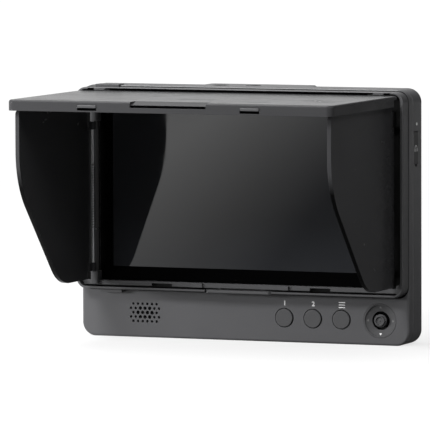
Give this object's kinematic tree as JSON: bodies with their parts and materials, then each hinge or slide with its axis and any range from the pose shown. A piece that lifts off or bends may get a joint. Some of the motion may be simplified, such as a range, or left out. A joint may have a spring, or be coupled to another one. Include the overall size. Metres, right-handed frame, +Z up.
{
  "type": "camera field monitor",
  "caption": "Slim slab monitor with a control strip, a battery spine at the back and a clip-on hood with a hinged lid and two sprung folding wings.",
  "frame": {"origin": "mouth of the tripod socket in the base, on the base's flat face", "axes": "+X right as seen by someone facing the screen, +Y to the back, +Z up; the screen faces -Y"},
  "size_m": [0.1394, 0.1052, 0.1006],
  "materials": {
    "case_plastic": "fine moulded texture",
    "hood_plastic": "fine moulded texture",
    "bezel_black": "smooth black",
    "screen_glass": "polished, dark when off",
    "key_plastic": "satin",
    "inner_plastic": "plain",
    "board": "solder mask",
    "display_cell": "laminated glass in a folded tray",
    "chassis_metal": "bare sheet",
    "steel": "blackened",
    "contact_metal": "gilded",
    "mesh_cloth": "fine mesh",
    "cover_rubber": "matte",
    "lamp_lens": "milky lens"
  },
  "bodies": {
    "monitor": {"front_case": "case_plastic", "rear_case": "case_plastic", "screen_surround": "bezel_black", "screen_glass": "screen_glass", "lcd_panel": "display_cell", "chassis_plate": "chassis_metal", "main_board": "board", "control_board": "board", "key_switches": "inner_plastic", "stick_bezel": "key_plastic", "stick_base": "inner_plastic", "speaker_mesh": "mesh_cloth", "speaker_driver": "inner_plastic", "case_screws": "steel", "hdmi_socket": "steel", "dc_socket": "inner_plastic", "power_switch_body": "inner_plastic", "port_cover_pin": "steel", "sound_socket": "inner_plastic", "status_lamp": "lamp_lens", "battery_plate": "inner_plastic", "battery_contacts": "contact_metal", "tripod_socket_top": "steel", "tripod_socket_base": "steel", "locating_bush_top": "inner_plastic", "locating_bush_base": "inner_plastic", "hood_frame": "hood_plastic", "hood_clip": "hood_plastic", "hood_foot": "hood_plastic", "hood_lid_pins": "steel", "wing_rod_left": "steel", "wing_rod_right": "steel", "wing_spring_left": "steel", "wing_spring_right": "steel"},
    "lid": {"hood_lid": "hood_plastic"},
    "wing_left": {"hood_wing_left": "hood_plastic"},
    "wing_right": {"hood_wing_right": "hood_plastic"},
    "key_1": {"button_1": "key_plastic"},
    "key_2": {"button_2": "key_plastic"},
    "key_3": {"button_3": "key_plastic"},
    "stick_outer": {"stick_ring": "inner_plastic"},
    "stick_inner": {"stick_disc": "inner_plastic"},
    "stick": {"stick_cap": "key_plastic"},
    "side_cover": {"port_cover": "cover_rubber"},
    "slide_switch": {"power_switch": "key_plastic"},
    "pack_release": {"battery_release": "key_plastic"},
    "hood_release": {"hood_release_tab": "hood_plastic"}
  },
  "joints": [
    {"name": "lid_tilt", "type": "hinge", "parent": "monitor", "child": "lid", "pos_m": [0, -0.0174, 0.09665], "axis": [-1, 0, 0], "range_deg": [0, 12]},
    {"name": "wing_left_fold", "type": "hinge", "parent": "monitor", "child": "wing_left", "pos_m": [-0.0626, -0.0157, 0.059], "axis": [0, 0, 1], "range_deg": [0, 90], "stiffness_Nm_per_rad": 0.006, "springref_deg": -28.65},
    {"name": "wing_right_fold", "type": "hinge", "parent": "monitor", "child": "wing_right", "pos_m": [0.0626, -0.0138, 0.059], "axis": [0, 0, -1], "range_deg": [0, 90], "stiffness_Nm_per_rad": 0.006, "springref_deg": -28.65},
    {"name": "key_1_press", "type": "slide", "parent": "monitor", "child": "key_1", "axis": [0, 1, 0], "range_m": [0, 0.0004], "stiffness_N_per_m": 1500, "springref_m": -0.0004},
    {"name": "key_2_press", "type": "slide", "parent": "monitor", "child": "key_2", "axis": [0, 1, 0], "range_m": [0, 0.0004], "stiffness_N_per_m": 1500, "springref_m": -0.0004},
    {"name": "key_3_press", "type": "slide", "parent": "monitor", "child": "key_3", "axis": [0, 1, 0], "range_m": [0, 0.0004], "stiffness_N_per_m": 1500, "springref_m": -0.0004},
    {"name": "stick_tilt_vertical", "type": "hinge", "parent": "monitor", "child": "stick_outer", "pos_m": [0.0572, -0.0038, 0.0097], "axis": [1, 0, 0], "range_deg": [-6, 6], "stiffness_Nm_per_rad": 0.02},
    {"name": "stick_tilt_sideways", "type": "hinge", "parent": "stick_outer", "child": "stick_inner", "pos_m": [0.0572, -0.0038, 0.0097], "axis": [0, 0, 1], "range_deg": [-6, 6], "stiffness_Nm_per_rad": 0.02},
    {"name": "stick_press", "type": "slide", "parent": "stick_inner", "child": "stick", "axis": [0, 1, 0], "range_m": [0, 0.0003], "stiffness_N_per_m": 2000, "springref_m": -0.0004},
    {"name": "side_cover_open", "type": "hinge", "parent": "monitor", "child": "side_cover", "pos_m": [0.0686, -0.0033, 0.0831], "axis": [0, -1, 0], "range_deg": [0, 90]},
    {"name": "power_slide", "type": "slide", "parent": "monitor", "child": "slide_switch", "axis": [0, 0, 1], "range_m": [0, 0.003]},
    {"name": "pack_release_press", "type": "slide", "parent": "monitor", "child": "pack_release", "axis": [0, -1, 0], "range_m": [0, 0.0012], "stiffness_N_per_m": 800, "springref_m": -0.0006},
    {"name": "hood_release_pull", "type": "slide", "parent": "monitor", "child": "hood_release", "axis": [0, 0, -1], "range_m": [0, 0.0008], "stiffness_N_per_m": 1500, "springref_m": -0.0004}
  ]
}
